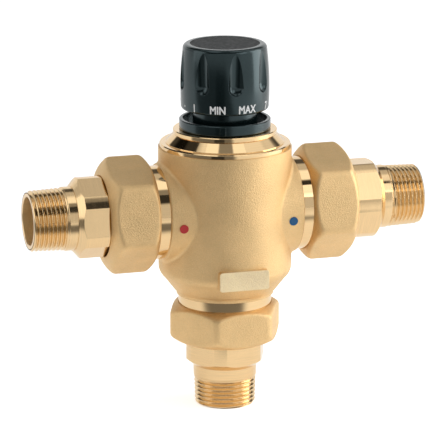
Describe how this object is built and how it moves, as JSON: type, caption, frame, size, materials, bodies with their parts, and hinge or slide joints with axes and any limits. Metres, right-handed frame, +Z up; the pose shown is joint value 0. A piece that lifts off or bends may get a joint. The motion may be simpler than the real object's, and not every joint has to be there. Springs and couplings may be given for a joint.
{
  "type": "three-way temperature mixing valve",
  "caption": "Brass temperature mixing valve with hot and cold inlets opposite each other, a mixed outlet below and a fluted dial knob on top; union nuts carry male-threaded tailpieces.",
  "frame": {"origin": "centre of the mixed outlet's end face", "axes": "+Z up along the control spindle, +X towards the cold inlet, -Y the front that carries the plate"},
  "size_m": [0.215, 0.0719, 0.1965],
  "materials": {
    "cast_brass": "sand-blasted cast brass, fine matte grain",
    "turned_brass": "machined brass, satin with turning marks",
    "polished_brass": "turned and polished brass, mirror-like",
    "black_gloss": "glossy black moulded plastic",
    "steel": "stainless steel wire and screws",
    "seal_rubber": "black rubber seals",
    "gasket_fibre": "dark green fibre gasket",
    "polymer": "off-white engineering polymer, low scaling",
    "copper_bulb": "copper cup of the wax element",
    "red_mark": "red enamel disc for the hot side",
    "blue_mark": "blue enamel disc for the cold side",
    "marking_white": "white printed dial numbers"
  },
  "bodies": {
    "housing": {"valve_body": "cast_brass", "bonnet": "polished_brass", "bonnet_oring": "seal_rubber", "index_ring": "black_gloss", "lower_seat": "turned_brass", "hot_mark": "red_mark", "cold_mark": "blue_mark", "hot_union_nut": "cast_brass", "hot_tailpiece": "turned_brass", "hot_gasket": "gasket_fibre", "cold_union_nut": "cast_brass", "cold_tailpiece": "turned_brass", "cold_gasket": "gasket_fibre", "outlet_union_nut": "cast_brass", "outlet_tailpiece": "turned_brass", "outlet_gasket": "gasket_fibre", "hot_check_body": "polymer", "cold_check_body": "polymer"},
    "dial": {"knob": "black_gloss", "knob_cap": "black_gloss", "knob_screw": "steel", "adjusting_spindle": "turned_brass", "spindle_circlip": "steel", "spindle_oring_lower": "seal_rubber", "spindle_oring_upper": "seal_rubber"},
    "carrier": {"spring_carrier": "turned_brass", "carrier_ring": "steel", "overload_spring": "steel"},
    "cup": {"pressure_cup": "turned_brass", "element_piston": "steel"},
    "shutter_unit": {"shutter": "polymer", "shutter_oring": "seal_rubber", "thermostatic_element": "copper_bulb", "return_spring": "steel"},
    "hot_poppet": {"hot_check_poppet": "polymer", "hot_check_spring": "steel"},
    "cold_poppet": {"cold_check_poppet": "polymer", "cold_check_spring": "steel"}
  },
  "joints": [
    {"name": "dial_turn", "type": "hinge", "parent": "housing", "child": "dial", "pos_m": [0, 0, 0.1965], "axis": [0, 0, 1], "range_deg": [0, 320]},
    {"name": "carrier_rise", "type": "slide", "parent": "housing", "child": "carrier", "axis": [0, 0, 1], "range_m": [0, 0.00267]},
    {"name": "overload_travel", "type": "slide", "parent": "carrier", "child": "cup", "axis": [0, 0, 1], "range_m": [0, 0.0024], "stiffness_N_per_m": 2000, "springref_m": -0.0005, "deforming": ["overload_spring"]},
    {"name": "shutter_stroke", "type": "slide", "parent": "housing", "child": "shutter_unit", "axis": [0, 0, 1], "range_m": [-0.0019, 0.0019], "stiffness_N_per_m": 1500, "deforming": ["return_spring"]},
    {"name": "hot_check_lift", "type": "slide", "parent": "housing", "child": "hot_poppet", "axis": [1, 0, 0], "range_m": [0, 0.0045], "stiffness_N_per_m": 30, "springref_m": -0.003, "deforming": ["hot_check_spring"]},
    {"name": "cold_check_lift", "type": "slide", "parent": "housing", "child": "cold_poppet", "axis": [-1, 0, 0], "range_m": [0, 0.0045], "stiffness_N_per_m": 30, "springref_m": -0.003, "deforming": ["cold_check_spring"]}
  ],
  "couplings": [
    {"joint": "dial_turn", "follows": "carrier_rise", "rad_per_m": 2091.6}
  ]
}
